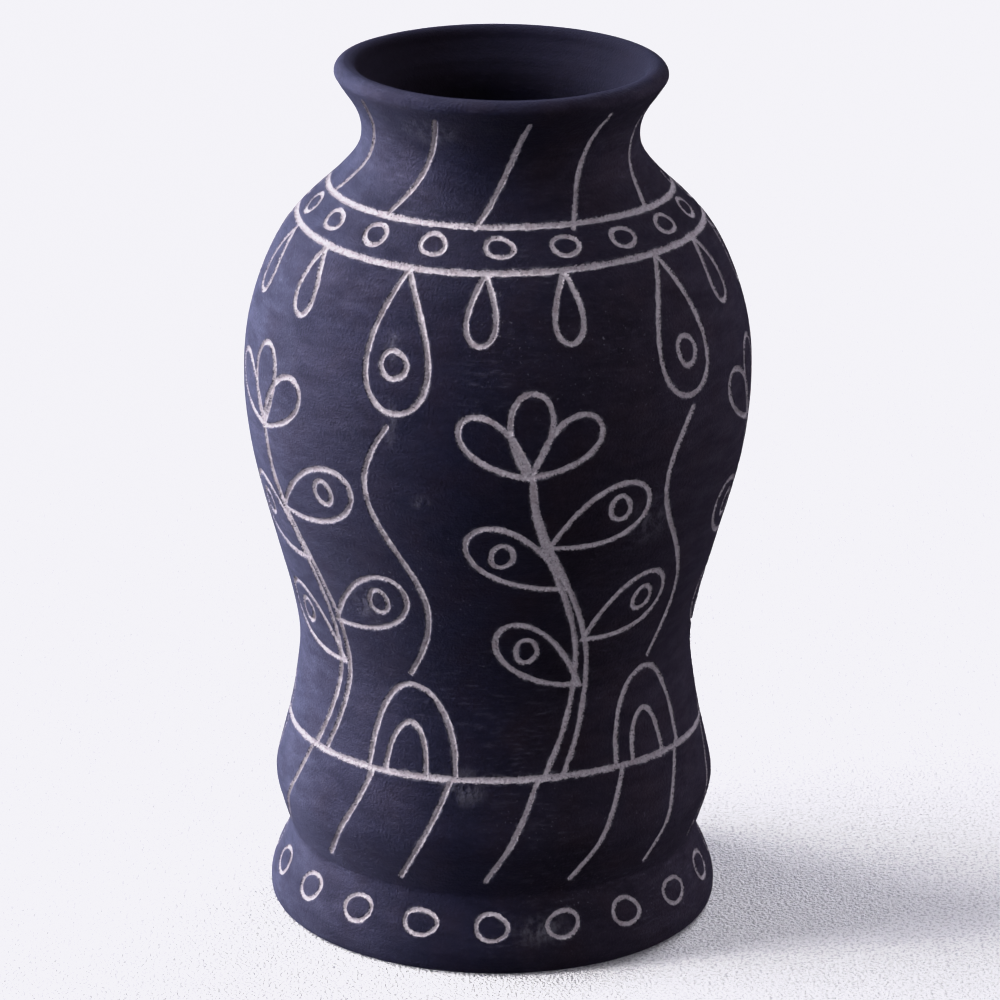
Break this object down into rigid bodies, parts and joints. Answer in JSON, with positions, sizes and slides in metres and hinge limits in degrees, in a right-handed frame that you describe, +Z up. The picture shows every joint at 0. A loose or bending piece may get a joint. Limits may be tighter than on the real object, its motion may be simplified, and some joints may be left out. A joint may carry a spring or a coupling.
{
  "type": "carved clay pot",
  "caption": "Waisted black clay pot with a flared foot, full belly, narrow neck and rolled lip, burnished and carved through to paler clay with leaves, flowers, ovals and ring lines.",
  "frame": {"origin": "on the ground under the middle of the foot", "axes": "+Z up along the pot's axis of revolution; -Y faces the viewer of the carved side"},
  "size_m": [0.162, 0.162, 0.28],
  "materials": {
    "burnished_clay": "black reduction-fired clay, burnished, carved through to paler clay",
    "raw_clay": "black reduction-fired clay, matt and unburnished"
  },
  "bodies": {
    "root": {"floor_slab": "raw_clay", "floor_luting_coil": "raw_clay", "foot_ring": "burnished_clay", "hip_course": "burnished_clay", "waist_course": "burnished_clay", "belly_course": "burnished_clay", "shoulder_course": "burnished_clay", "band_course": "burnished_clay", "neck_collar": "burnished_clay", "rim_coil": "burnished_clay"}
  },
  "joints": []
}
